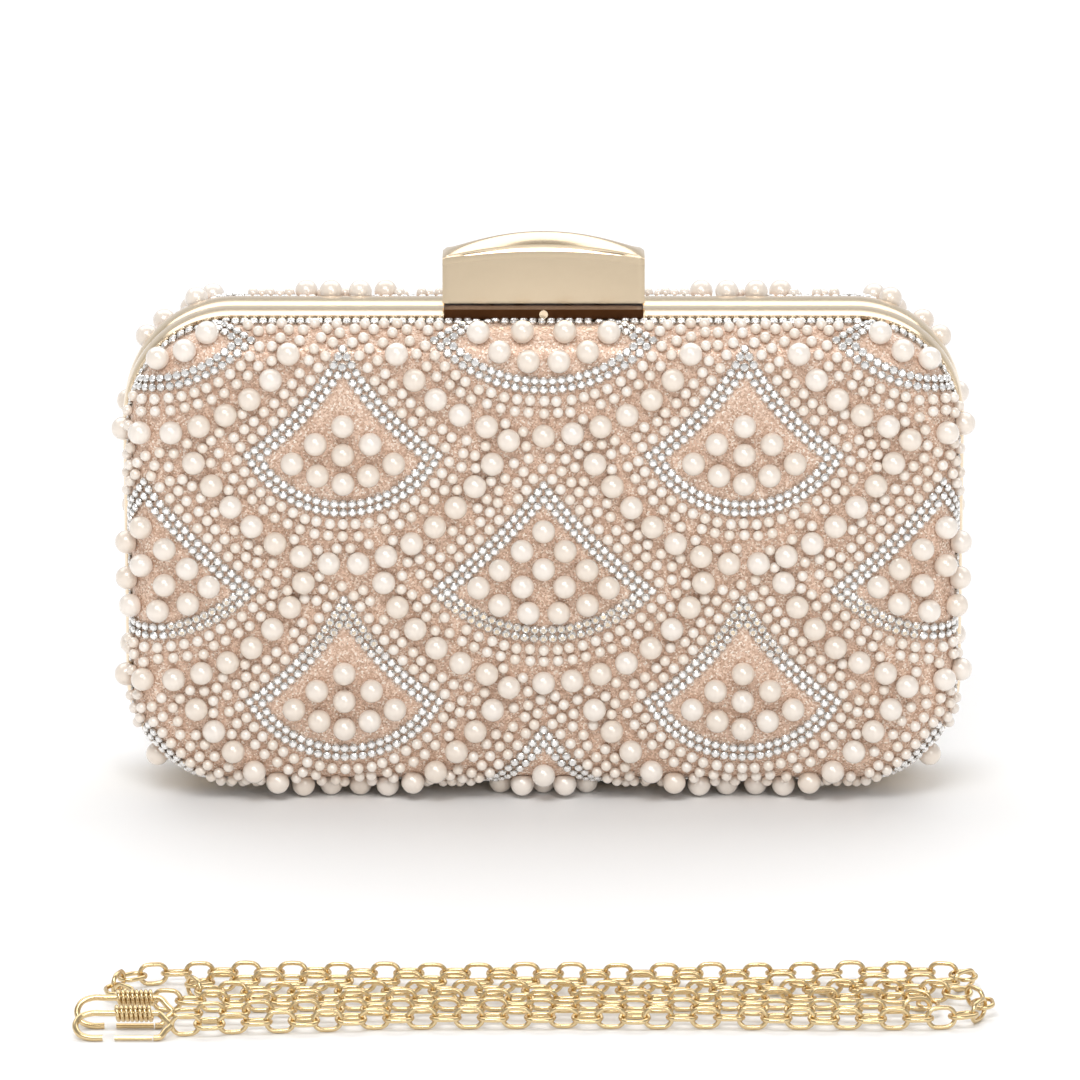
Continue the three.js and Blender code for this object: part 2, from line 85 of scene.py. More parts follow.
# The chain lies folded in six runs. It starts at hook b and ends at hook a.
CHAIN_ROUTE = [
    (-81, -197.4), (-58, -194.8), (-30, -192.4), (30, -192.1), (88, -192),
    (94.6, -189.3), (97.3, -182.7), (94.6, -176.1),
    (88, -173.4), (30, -173.3), (-30, -173.5), (-76, -173.4),
    (-79.1, -170.3),
    (-76, -167.2), (-25, -167.1), (30, -167.3), (92.2, -167.2),
    (95.3, -164.1),
    (92.2, -161), (30, -161.1), (-30, -160.9), (-86.2, -161),
    (-92.8, -163.7), (-95.5, -170.3), (-92.8, -176.9),
    (-86.2, -179.6), (-30, -179.5), (30, -179.7), (83, -179.6),
    (86.1, -182.7),
    (83, -185.8), (30, -185.7), (-30, -186.2), (-58, -187.4), (-81, -189.4),
]


# ---------------------------------------------------------------- camera
def make_camera():
    data = bpy.data.cameras.new("camera")
    data.sensor_width = 36
    data.lens = 280.8
    data.clip_end = 20
    camera = bpy.data.objects.new("camera", data)
    bpy.context.scene.collection.objects.link(camera)
    camera.location = (-0.00085, -1.95, 0.5865)
    camera.rotation_euler = (math.pi / 2 - 0.264, 0, 0)
    bpy.context.scene.camera = camera


# ---------------------------------------------------------------- materials
def material(name, color, roughness, metallic=0.0, **sockets):
    made = bpy.data.materials.new(name)
    made.use_nodes = True
    shader = made.node_tree.nodes["Principled BSDF"]
    shader.inputs["Base Color"].default_value = (*color, 1)
    shader.inputs["Roughness"].default_value = roughness
    shader.inputs["Metallic"].default_value = metallic
    for socket, value in sockets.items():
        shader.inputs[socket.replace("_", " ")].default_value = value
    return made


def link_noise_bump(made, scale, distance, detail=3.0, strength=0.5):
    """Fine bump from object-space noise."""
    tree = made.node_tree
    shader = tree.nodes["Principled BSDF"]
    place = tree.nodes.new("ShaderNodeTexCoord")
    noise = tree.nodes.new("ShaderNodeTexNoise")
    noise.inputs["Scale"].default_value = scale
    noise.inputs["Detail"].default_value = detail
    bump = tree.nodes.new("ShaderNodeBump")
    bump.inputs["Strength"].default_value = strength
    bump.inputs["Distance"].default_value = distance
    tree.links.new(place.outputs["Object"], noise.inputs["Vector"])
    tree.links.new(noise.outputs["Fac"], bump.inputs["Height"])
    tree.links.new(bump.outputs["Normal"], shader.inputs["Normal"])
    return noise


def ramp_into(made, source, socket, stops):
    """Feeds a noise through a colour ramp into one of the shader's sockets."""
    tree = made.node_tree
    ramp = tree.nodes.new("ShaderNodeValToRGB")
    elements = ramp.color_ramp.elements
    while len(elements) < len(stops):
        elements.new(0.5)
    for element, (place, color) in zip(elements, stops):
        element.position = place
        element.color = (*color, 1) if len(color) == 3 else color
    tree.links.new(source, ramp.inputs["Fac"])
    tree.links.new(ramp.outputs["Color"], tree.nodes["Principled BSDF"].inputs[socket])


def grey(value):
    return (value, value, value)


def gold_material(name, color, roughness):
    """Polished plate with faint streaks in its gloss."""
    made = material(name, color, roughness, 1.0)
    noise = link_noise_bump(made, 900, 0.000005, strength=0.1)
    stops = [(0.3, grey(roughness * 0.92)), (0.7, grey(roughness * 1.1))]
    ramp_into(made, noise.outputs["Fac"], "Roughness", stops)
    return made


def glitter_material():
    """Rose-gold glitter fabric: tiny cells, each with its own tint, tilt and gloss."""
    made = material("glitter_fabric", (0.66, 0.45, 0.34), 0.45)
    tree = made.node_tree
    shader = tree.nodes["Principled BSDF"]
    place = tree.nodes.new("ShaderNodeTexCoord")
    cells = tree.nodes.new("ShaderNodeTexVoronoi")
    cells.inputs["Scale"].default_value = 2600
    tree.links.new(place.outputs["Object"], cells.inputs["Vector"])
    value = tree.nodes.new("ShaderNodeSeparateColor")
    tree.links.new(cells.outputs["Color"], value.inputs["Color"])
    tints = [(0.0, (0.50, 0.32, 0.22)), (0.45, (0.69, 0.48, 0.36)), (0.8, (0.83, 0.63, 0.50)),
             (1.0, (0.96, 0.87, 0.78))]
    ramp_into(made, value.outputs["Red"], "Base Color", tints)
    gloss = [(0.0, grey(0.25)), (1.0, grey(0.65))]
    ramp_into(made, value.outputs["Green"], "Roughness", gloss)
    shader.inputs["Metallic"].default_value = 0.2
    bump = tree.nodes.new("ShaderNodeBump")
    bump.inputs["Strength"].default_value = 0.6
    bump.inputs["Distance"].default_value = 0.00015
    tree.links.new(value.outputs["Blue"], bump.inputs["Height"])
    tree.links.new(bump.outputs["Normal"], shader.inputs["Normal"])
    return made


def satin_material():
    """Champagne satin with a fine diagonal twill."""
    made = material("satin", (0.62, 0.48, 0.34), 0.42, Sheen_Weight=0.4, Sheen_Roughness=0.3)
    tree = made.node_tree
    shader = tree.nodes["Principled BSDF"]
    place = tree.nodes.new("ShaderNodeTexCoord")
    twill = tree.nodes.new("ShaderNodeTexWave")
    twill.bands_direction = "DIAGONAL"
    twill.inputs["Scale"].default_value = 900
    twill.inputs["Distortion"].default_value = 0.4
    bump = tree.nodes.new("ShaderNodeBump")
    bump.inputs["Strength"].default_value = 0.25
    bump.inputs["Distance"].default_value = 0.0001
    tree.links.new(place.outputs["Object"], twill.inputs["Vector"])
    tree.links.new(twill.outputs["Fac"], bump.inputs["Height"])
    tree.links.new(bump.outputs["Normal"], shader.inputs["Normal"])
    shade = tree.nodes.new("ShaderNodeTexNoise")
    shade.inputs["Scale"].default_value = 40
    tree.links.new(place.outputs["Object"], shade.inputs["Vector"])
    stops = [(0.3, (0.56, 0.42, 0.29)), (0.7, (0.68, 0.54, 0.4))]
    ramp_into(made, shade.outputs["Fac"], "Base Color", stops)
    return made


def pearl_material(name, color):
    return material(
        name, color, 0.3, 0.12, Coat_Weight=1.0, Coat_Roughness=0.04, Specular_IOR_Level=0.7,
    )


GOLD = gold_material("pale_gold", (0.85, 0.69, 0.49), 0.2)
STRAP_GOLD = gold_material("strap_gold", (0.74, 0.57, 0.32), 0.24)
# Painted shade: a nearly black gold for the catch plate, standing for the shadow in the gap under
# the clasp bar.
PAINTED_SHADE_GOLD = gold_material("painted_shade_under_clasp", (0.08, 0.032, 0.012), 0.4)
STEEL = gold_material("bright_steel", (0.6, 0.6, 0.6), 0.28)
GLITTER = glitter_material()
SATIN = satin_material()
BOARD = material("moulded_shell", (0.6, 0.55, 0.48), 0.6)
link_noise_bump(BOARD, 300, 0.0001)
PEARL_SHADES = [(0.87, 0.78, 0.69), (0.89, 0.81, 0.73), (0.85, 0.75, 0.65)]
PEARLS = [pearl_material(f"pearl_{i + 1}", shade) for i, shade in enumerate(PEARL_SHADES)]
CRYSTAL_GLASS = material("cut_crystal", (0.93, 0.92, 0.91), 0.06, 0.7, Coat_Weight=1.0)
SETTING = material("silver_setting", (0.62, 0.59, 0.55), 0.25, 1.0)


# ---------------------------------------------------------------- mesh helpers
def mesh_object(name, points, faces, materials, face_materials=None, smooth=True):
    """An object from points in millimetres."""
    data = bpy.data.meshes.new(name)
    data.from_pydata((np.asarray(points, float) * MM).tolist(), [], faces)
    for made in materials:
        data.materials.append(made)
    if face_materials is not None:
        data.polygons.foreach_set("material_index", np.asarray(face_materials, np.int32))
    data.polygons.foreach_set("use_smooth", [smooth] * len(data.polygons))
    data.update()
    made = bpy.data.objects.new(name, data)
    bpy.context.scene.collection.objects.link(made)
    return made


def fix_normals(made):
    work = bmesh.new()
    work.from_mesh(made.data)
    bmesh.ops.recalc_face_normals(work, faces=work.faces)
    work.to_mesh(made.data)
    work.free()


def loft(name, rings, materials, closed_rings=True, loop=False, caps=False, smooth=True):
    """A surface through rings of equal length."""
    count = len(rings[0])
    points = np.concatenate([np.asarray(ring, float) for ring in rings])
    faces = []
    last = len(rings) if loop else len(rings) - 1
    across = count if closed_rings else count - 1
    for ring in range(last):
        after = (ring + 1) % len(rings)
        for at in range(across):
            beside = (at + 1) % count
            faces.append((ring * count + at, ring * count + beside,
                          after * count + beside, after * count + at))
    if caps:
        faces.append(tuple(range(count)))
        end = (len(rings) - 1) * count
        faces.append(tuple(range(end, end + count)))
    made = mesh_object(name, points, faces, materials, smooth=smooth)
    fix_normals(made)
    return made


def instances(name, shapes, places, materials, smooth=True):
    """One mesh of many copies. A place is (shape, origin, 3x3 axes, material index)."""
    points, faces, slots = [], [], []
    start = 0
    for shape, origin, axes, slot in places:
        shape_points, shape_faces = shapes[shape]
        points.append(shape_points @ axes.T + origin)
        faces.extend([tuple(start + i for i in face) for face in shape_faces])
        slots.extend([slot] * len(shape_faces))
        start += len(shape_points)
    return mesh_object(name, np.concatenate(points), faces, materials, slots, smooth)


def tube(name, line, radius, materials, section=10, closed=False):
    """A round tube along points, with capped ends."""
    line = np.asarray(line, float)
    along = np.gradient(line, axis=0)
    along /= np.linalg.norm(along, axis=1)[:, None]
    guide = np.array([0, 0, 1.0]) if abs(along[0][2]) < 0.9 else np.array([1.0, 0, 0])
    rings = []
    first = guide - along[0] * guide.dot(along[0])
    for point, way in zip(line, along):
        first = first - way * first.dot(way)
        first /= np.linalg.norm(first)
        second = np.cross(way, first)
        rings.append([point + radius * (first * math.cos(t) + second * math.sin(t))
                      for t in np.linspace(0, 2 * math.pi, section, endpoint=False)])
    return loft(name, rings, materials, caps=not closed, loop=closed)


def soften(made, angle=0.6):
    """Smooth shading that keeps real edges sharp."""
    made.data.polygons.foreach_set("use_smooth", [True] * len(made.data.polygons))
    work = bmesh.new()
    work.from_mesh(made.data)
    for edge in work.edges:
        edge.smooth = len(edge.link_faces) != 2 or edge.calc_face_angle(0) < angle
    work.to_mesh(made.data)
    work.free()


# ---------------------------------------------------------------- curves
def catmull(points, per_span=12):
    """A centripetal Catmull-Rom curve through points, as dense samples."""
    given = np.asarray(points, float)
    first = 2 * given[0] - given[1]
    last = 2 * given[-1] - given[-2]
    knots = np.vstack([first, given, last])
    out = []
    for i in range(1, len(knots) - 2):
        a, b, c, d = knots[i - 1], knots[i], knots[i + 1], knots[i + 2]
        t0 = 0.0
        t1 = t0 + math.sqrt(np.linalg.norm(b - a))
        t2 = t1 + math.sqrt(np.linalg.norm(c - b))
        t3 = t2 + math.sqrt(np.linalg.norm(d - c))
        for t in np.linspace(t1, t2, per_span, endpoint=False):
            ab = (t1 - t) / (t1 - t0) * a + (t - t0) / (t1 - t0) * b
            bc = (t2 - t) / (t2 - t1) * b + (t - t1) / (t2 - t1) * c
            cd = (t3 - t) / (t3 - t2) * c + (t - t2) / (t3 - t2) * d
            abc = (t2 - t) / (t2 - t0) * ab + (t - t0) / (t2 - t0) * bc
            bcd = (t3 - t) / (t3 - t1) * bc + (t - t1) / (t3 - t1) * cd
            out.append((t2 - t) / (t2 - t1) * abc + (t - t1) / (t2 - t1) * bcd)
    out.append(given[-1])
    return np.array(out)


def lengths_along(line):
    return np.concatenate([[0], np.cumsum(np.linalg.norm(np.diff(line, axis=0), axis=1))])


def spaced(line, pitch, start=0.0, even=True):
    """Points along a line at one pitch, stretched slightly to fit if even."""
    along = lengths_along(line)
    room = along[-1] - start
    count = max(1, round(room / pitch)) if even else int(room / pitch)
    step = room / count if even else pitch
    marks = start + step * np.arange(count + 1)
    return np.column_stack([np.interp(marks, along, line[:, k]) for k in range(line.shape[1])])


# ---------------------------------------------------------------- outline and surface
def outline(offset, y, steps=CORNER_STEPS):
    """The bag's rounded outline moved outwards, as points at one depth."""
    x = FABRIC["half_width"] + offset
    low, high = FABRIC["bottom"] - offset, FABRIC["top"] + offset
    big = max(FABRIC["top_radius"] + offset, 2)
    small = max(FABRIC["bottom_radius"] + offset, 2)
    corners = [(x - big, high - big, big, 0), (big - x, high - big, big, 1),
               (small - x, low + small, small, 2), (x - small, low + small, small, 3)]
    points = []
    for cx, cz, radius, quarter in corners:
        for step in range(steps + 1):
            angle = (quarter + step / steps) * math.pi / 2
            points.append((cx + radius * math.cos(angle), y, cz + radius * math.sin(angle)))
    return points


def crown(inset):
    share = np.clip((inset - EDGE_ROUND) / (CROWN_END - EDGE_ROUND), 0, 1)
    return CROWN * math.sin(share * math.pi / 2)


def dish_profile(outside, rim, round_steps=10):
    """(offset, depth) from the rim to the middle of the face."""
    radius = EDGE_ROUND + outside
    profile = [(outside, rim)]
    for step in range(round_steps + 1):
        angle = step / round_steps * math.pi / 2
        profile.append((outside - radius + radius * math.cos(angle),
                        FACE_Y + outside - radius + radius * math.sin(angle)))
    for inset in (12, 16, 21, 27, 34, CROWN_END):
        profile.append((-inset, FACE_Y + outside + crown(inset)))
    return profile


def nearest_on_core(u, v):
    """Distance outside the face's flat part (negative within), and the way outwards."""
    half = FABRIC["half_width"] - EDGE_ROUND
    low, high = FABRIC["bottom"] + EDGE_ROUND, FABRIC["top"] - EDGE_ROUND
    middle = (low + high) / 2
    corner = FABRIC["top_radius"] if v > middle else FABRIC["bottom_radius"]
    radius = corner - EDGE_ROUND
    du = abs(u) - (half - radius)
    dv = abs(v - middle) - ((high - low) / 2 - radius)
    if du > 0 and dv > 0:
        reach = math.hypot(du, dv)
        way = (math.copysign(du / reach, u), math.copysign(dv / reach, v - middle))
        return reach - radius, way
    if du > dv:
        return du - radius, (math.copysign(1, u), 0)
    return dv - radius, (0, math.copysign(1, v - middle))


def wrap(u, v, side):
    """Where a point of the flat pattern lies on a half, and the surface's normal there.
    The flat pattern bends round the edge and runs down the wall. None is past the rim."""
    beyond, (wu, wv) = nearest_on_core(u, v)
    if beyond <= 0:
        depth = FACE_Y + crown(EDGE_ROUND - beyond)
        return np.array([u, side * depth, v]), np.array([0.0, side, 0.0])
    base = np.array([u - wu * beyond, 0, v - wv * beyond])
    out = np.array([wu, 0.0, wv])
    quarter = EDGE_ROUND * math.pi / 2
    if beyond <= quarter:
        angle = beyond / EDGE_ROUND
        depth = FACE_Y - EDGE_ROUND + EDGE_ROUND * math.cos(angle)
        place = base + out * EDGE_ROUND * math.sin(angle)
        normal = out * math.sin(angle) + np.array([0, side * math.cos(angle), 0])
        return place + np.array([0, side * depth, 0]), normal
    depth = FACE_Y - EDGE_ROUND - (beyond - quarter)
    if depth < WALL_START + RIM_MARGIN:
        return None, None
    return base + out * EDGE_ROUND + np.array([0, side * depth, 0]), out


# ---------------------------------------------------------------- strap
def chain_link():
    """One oval link with its long axis along X, lying in the XY plane."""
    around, section = 24, 8
    wire = CHAIN["wire"] / 2
    half_width = CHAIN["width"] / 2 - wire
    straight = CHAIN["length"] / 2 - wire - half_width
    points, faces = [], []
    for i in range(around):
        angle = 2 * math.pi * i / around
        out = np.array([math.cos(angle), math.sin(angle), 0])
        middle = out * half_width + np.array([math.copysign(straight, out[0]), 0, 0])
        if abs(out[0]) < 1e-9:
            middle[0] = 0
        for k in range(section):
            turn = 2 * math.pi * k / section
            points.append(middle + wire * (out * math.cos(turn) + np.array([0, 0, math.sin(turn)])))
    for i in range(around):
        for k in range(section):
            j, m = (i + 1) % around, (k + 1) % section
            faces.append((i * section + k, j * section + k, j * section + m, i * section + m))
    return np.array(points), faces


def hook_line():
    """A wire hook drawn flat: its eye at the origin, its nose at -X, its mouth at -Y."""
    wire, eye = HOOK["wire"], HOOK["eye"]
    leg = (HOOK["width"] - wire) / 2
    nose = wire / 2 - HOOK["length"]
    tip = leg + HOOK["mouth"] - HOOK["length"]
    return catmull([
        (-2.7 * eye, -leg, 0), (-2.3 * eye, -leg, 0), (-1.7 * eye, 0.3 - leg, 0),
        (-eye, -0.95 * eye, 0), (-0.35, 0, 0), (-eye, 0.95 * eye, 0),
        (-1.9 * eye, leg - 0.3, 0), (-2.5 * eye, leg, 0), (-3 * eye, leg, 0),
        (nose + leg + 3, leg, 0), (nose + leg, leg, 0), (nose + 0.3 * leg, 0.7 * leg, 0),
        (nose, 0, 0), (nose + 0.3 * leg, -0.7 * leg, 0), (nose + leg, -leg, 0), (tip, -leg, 0),
    ], 6)


def make_hook(name, end):
    """A strap hook's bent wire, leaning up from the floor as in the CAD."""
    node = f"strap_hook_{name}"
    lean = math.radians(HOOK_LEAN[name])
    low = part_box(node)[0][2] / MM
    flat = hook_line()
    lift = low + HOOK["wire"] / 2 - flat[:, 1].min() * math.sin(lean)
    line = np.column_stack([flat[:, 0] + end[0] - GAP, flat[:, 1] * math.cos(lean) + end[1],
                            flat[:, 1] * math.sin(lean) + lift])
    hook = tube(f"hook_wire_{name}", line, HOOK["wire"] / 2, [STRAP_GOLD], section=12)
    soften(hook, 0.7)
    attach(hook, "back_half")
    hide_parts(node)
    return hook


def make_coil(name):
    """A hook's sleeve as close-wound wire round its leg, where the CAD has the sleeve."""
    node = f"strap_hook_coil_{name}"
    low, high = np.array(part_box(node)) / MM
    wire = 0.46
    radius = (high[2] - low[2]) / 2 - wire
    start, end = low[0] + wire, high[0] - wire
    turns = round((end - start) / (2.15 * wire))
    share = np.linspace(0, 1, turns * 14)
    turn = share * turns * 2 * math.pi
    middle = (low + high) / 2
    line = np.column_stack([start + (end - start) * share, middle[1] + radius * np.cos(turn),
                            middle[2] + radius * np.sin(turn)])
    coil = tube(f"hook_coil_{name}", line, wire, [STRAP_GOLD], section=8)
    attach(coil, f"hook_{name}_sleeve")
    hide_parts(node)
    return coil


def make_chain():
    """The strap: links end to end along the route, every other one turned on its side."""
    height = CHAIN["width"] / 2 + 0.03
    line = catmull([(x, y, height) for x, y in CHAIN_ROUTE])
    ends = spaced(line, CHAIN["pitch"])
    rng = np.random.default_rng(7)
    places = []
    for i in range(len(ends) - 1):
        along = ends[i + 1] - ends[i]
        along /= np.linalg.norm(along)
        up = np.array([0.0, 0.0, 1.0])
        beside = np.cross(up, along)
        roll = rng.uniform(-0.2, 0.2) + (math.pi / 2 if i % 2 == 0 else 0)
        across = beside * math.cos(roll) + up * math.sin(roll)
        axes = np.column_stack([along, across, np.cross(along, across)])
        places.append((0, (ends[i] + ends[i + 1]) / 2, axes, 0))
    chain = instances("chain_links", [chain_link()], places, [STRAP_GOLD])
    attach(chain, "back_half")
    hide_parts("strap_chain")
    parts = [nodes[f"strap_hook_gate_{name}"] for name in "ab"]
    parts += [make_coil(name) for name in "ab"]
    parts += [make_hook("a", CHAIN_ROUTE[-1]), make_hook("b", CHAIN_ROUTE[0])]


# ---------------------------------------------------------------- layout of the stones
# Two kinds of fan take turns from column to column. Heights are above the floor, for the fan
# in row 0; distances across are from the fan's axis. A fan's side meets its base at half and
# corner, apex and foot are its highest and lowest points, and bow is how far its sides curve
# inwards. Below it runs an arc of large pearls, a parabola with its bend or a round one with
# its radius. Its own large pearls are (across, height), and those off the axis are mirrored.
COLUMN = 47.4
ROW = 60.6
POINTED_FAN = {
    "half": 22.6, "corner": 86.6, "apex": 111.9, "foot": 72.6, "bow": 4.0,
    "arc": 60.3, "bend": 0.0197, "round": 0, "arc_end": 41.0, "arc_start": 3.5,
    "pearls": [(0, 93.9), (6.5, 89.6), (12, 84.9), (0, 87), (6, 82), (0, 80.0)],
}
BROAD_FAN = {
    "half": 25.8, "corner": 53.5, "apex": 79.4, "foot": 41.7, "bow": 2.2,
    "arc": 31.0, "bend": 0, "round": 41.3, "arc_end": 38.3, "arc_start": 0,
    "pearls": [(0, 68.4), (5.1, 63.6), (10.3, 58.9), (0, 59.1), (15.4, 54.6), (5, 54.8),
               (10.4, 50.3), (3.6, 48.4)],
}


def fan_outline(fan, grow):
    """The side and the base of a fan's right half, moved outwards."""
    apex = np.array([0.0, fan["apex"]])
    corner = np.array([float(fan["half"]), fan["corner"]])
    chord = corner - apex
    inwards = np.array([chord[1], -chord[0]]) / np.linalg.norm(chord)
    bend = (apex + corner) / 2 + inwards * fan["bow"]
    share = np.linspace(0, 1, 40)[:, None]
    side = (1 - share) ** 2 * apex + 2 * share * (1 - share) * bend + share**2 * corner
    drop = fan["corner"] - fan["foot"]
    radius = (fan["half"] ** 2 + drop**2) / (2 * drop)
    reach = math.asin(fan["half"] / radius)
    angles = np.linspace(reach, 0, 40)
    centre = fan["foot"] + radius
    base = np.column_stack([radius * np.sin(angles), centre - radius * np.cos(angles)])
    parts = []
    for line in (side, base):
        along = np.gradient(line, axis=0)
        along /= np.linalg.norm(along, axis=1)[:, None]
        parts.append(line + grow * np.column_stack([-along[:, 1], along[:, 0]]))
    return trim_join(*parts)


def trim_join(side, base):
    """Cuts a side and a base where they cross."""
    gaps = np.linalg.norm(side[:, None] - base[None], axis=2)
    i, j = np.unravel_index(np.argmin(gaps), gaps.shape)
    if gaps[i, j] < 1.0:
        return side[side[:, 0] >= -0.2][: i + 1], base[j:]
    return side, base


def scale_arc(fan):
    """The right half of the line of large pearls below a fan."""
    across = np.linspace(0, fan["arc_end"], 200)
    if fan["round"]:
        rise = fan["round"] - np.sqrt(fan["round"] ** 2 - across**2)
    else:
        rise = fan["bend"] * across**2
    return np.column_stack([across, fan["arc"] + rise])


def fan_sites():
    """Every fan's kind and axis that can touch the unrolled pattern."""
    for column in range(-3, 4):
        fan = POINTED_FAN if column % 2 else BROAD_FAN
        for row in (-2, -1, 0, 1):
            yield fan, column * COLUMN, row * ROW


def both_sides(points, centre_u, shift_v):
    """Points of a fan's right half, with their mirror images, in place on the pattern."""
    for u, v in points:
        yield centre_u + u, shift_v + v
        if abs(u) > 0.3:
            yield centre_u - u, shift_v + v


# On the front's top edge a large pearl's normal keeps this much of Y, off the frame's bead.
PEARL_LIMIT_TOP = 0.48
# Stones of unlike size may stand closer, as their widest parts differ in height.
MIXED_SLACK = 0.3
CELL = 6.0  # side of the cells that sort the stones, larger than a large pearl
RIM_MARGIN = 1.0  # fabric left bare beside the frame
RIM_ROWS = (10.9, 12.9)  # depths of the rows of crystals beside the frame
CRYSTAL_ROWS = (0, -2.15)  # distances outside a fan's outline
SEED_ROWS = (2.7, 5.5)
DIAMETERS = {"pearl": PEARL, "seed": SEED, "crystal": CRYSTAL}


class Layout:
    """Places stones on one half, refusing any that would touch one already there."""

    def __init__(self, side):
        self.side = side
        self.cells = {}
        self.stones = {"pearl": [], "seed": [], "crystal": []}

    @staticmethod
    def cell(place):
        return tuple((place // CELL).astype(int))

    def clear(self, place, reach, slack):
        """Whether no stone already laid comes closer than the slack."""
        x, y, z = self.cell(place)
        for dx, dy, dz in itertools.product((-1, 0, 1), repeat=3):
            for other, size in self.cells.get((x + dx, y + dy, z + dz), ()):
                gap = np.linalg.norm(other - place) - (size + reach)
                if gap < slack - (MIXED_SLACK if size != reach else 0):
                    return False
        return True

    def put(self, kind, u, v, slack):
        """Tries a stone at a point of the flat pattern."""
        place, normal = wrap(u, v, self.side)
        if place is None:
            return
        on_top = self.side < 0 and normal[2] > 0.5
        if kind == "pearl" and on_top and abs(normal[1]) < PEARL_LIMIT_TOP:
            return
        self.put_at(kind, place, normal, slack)

    def put_at(self, kind, place, normal, slack):
        """Tries a stone at a point of the surface."""
        reach = DIAMETERS[kind] / 2
        rim = abs(place[1]) - WALL_START
        if rim >= reach * 0.9 and self.clear(place, reach, slack):
            self.cells.setdefault(self.cell(place), []).append((place, reach))
            self.stones[kind].append((place, normal))


def lay_stones(side):
    """All stones of one half, in the order of their claim to a place."""
    layout = Layout(side)
    rng = np.random.default_rng(11 if side < 0 else 12)
    sites = list(fan_sites())
    for fan, u, v in sites:
        for spot in both_sides(fan["pearls"], u, v):
            layout.put("pearl", *spot, slack=0.1)
    for fan, u, v in sites:
        for grow in CRYSTAL_ROWS:
            flank, base = fan_outline(fan, grow)
            for line in (flank, base[::-1]):
                for spot in both_sides(spaced(line, CRYSTAL_PITCH), u, v):
                    layout.put("crystal", *spot, slack=-0.3)
    for fan, u, v in sites:
        line = scale_arc(fan)
        start = fan["arc_start"]
        for spot in both_sides(spaced(line, PEARL_PITCH, start, even=False), u, v):
            layout.put("pearl", *spot, slack=0.15)
    for depth in RIM_ROWS:
        ring = np.array(outline(0, side * depth))
        for place in spaced(np.vstack([ring, ring[:1]]), CRYSTAL_PITCH)[:-1]:
            way = nearest_on_core(place[0], place[2])[1]
            layout.put_at("crystal", place, np.array([way[0], 0.0, way[1]]), -0.18)
    for fan, u, v in sites:
        for grow in SEED_ROWS:
            flank, base = fan_outline(fan, grow)
            for line in (base[::-1], flank[::-1]):
                for spot in both_sides(spaced(line, SEED_PITCH), u, v):
                    jitter = rng.normal(0, 0.12, 2)
                    layout.put("seed", spot[0] + jitter[0], spot[1] + jitter[1], slack=0.0)
    fill_gaps(layout, rng)
    return layout.stones


def fill_gaps(layout, rng):
    """Small pearls in what is left outside the fans, on a loose grid."""
    for v in np.arange(-12, 133, 1.1):
        for u in np.arange(-116, 116, 1.1):
            spot = (u + rng.uniform(-0.3, 0.3), v + rng.uniform(-0.3, 0.3))
            if not in_a_fan(*spot):
                layout.put("seed", *spot, slack=0.14)


def in_a_fan(u, v):
    """Whether a point lies inside a fan, near enough to keep the filling out."""
    for fan, centre, shift in fan_sites():
        across = abs(u - centre)
        height = v - shift
        if across > fan["half"] + 1 or not fan["foot"] - 1 < height < fan["apex"] + 1:
            continue
        roof = fan["apex"] - (fan["apex"] - fan["corner"]) * (across / fan["half"]) ** 0.8
        drop = fan["corner"] - fan["foot"]
        radius = (fan["half"] ** 2 + drop**2) / (2 * drop)
        floor = fan["foot"] + radius - math.sqrt(max(radius**2 - across**2, 0))
        if floor - 1 < height < roof + 1:
            return True
    return False


# ---------------------------------------------------------------- shapes of the stones
def ball(diameter, around, up, cut):
    """A ball flattened where it is glued on, with its base at the origin and +Z outwards."""
    radius = diameter / 2
    lowest = math.acos(-cut)
    points, faces = [(0, 0, radius)], []
    for ring in range(1, up + 1):
        polar = lowest * ring / up
        for k in range(around):
            turn = 2 * math.pi * k / around
            points.append((radius * math.sin(polar) * math.cos(turn),
                           radius * math.sin(polar) * math.sin(turn), radius * math.cos(polar)))
    for k in range(around):
        faces.append((0, 1 + k, 1 + (k + 1) % around))
        for ring in range(up - 1):
            a, b = 1 + ring * around + k, 1 + ring * around + (k + 1) % around
            faces.append((a, a + around, b + around, b))
    base = 1 + (up - 1) * around
    faces.append(tuple(base + k for k in reversed(range(around))))
    shape = np.array(points)
    shape[:, 2] += radius * cut
    return shape, faces


def cut_stone():
    """A flat-backed crystal: table, eight crown facets and a shallow girdle."""
    sides = 8
    radius = CRYSTAL / 2 * 0.9
    levels = [(radius, 0.35), (radius, 0.6), (radius * 0.9, 0.85), (radius * 0.58, 1.08)]
    points, faces = [], []
    for level, (reach, height) in enumerate(levels):
        for k in range(sides):
            turn = 2 * math.pi * (k + 0.5 * (level % 2)) / sides
            points.append((reach * math.cos(turn), reach * math.sin(turn), height))
    for level in range(len(levels) - 1):
        for k in range(sides):
            a, b = level * sides + k, level * sides + (k + 1) % sides
            c, d = a + sides, b + sides
            if level % 2:
                faces += [(a, b, d), (a, d, c)]
            else:
                faces += [(a, b, c), (b, d, c)]
    faces.append(tuple(3 * sides + k for k in range(sides)))
    faces.append(tuple(reversed(range(sides))))
    return np.array(points, float), faces


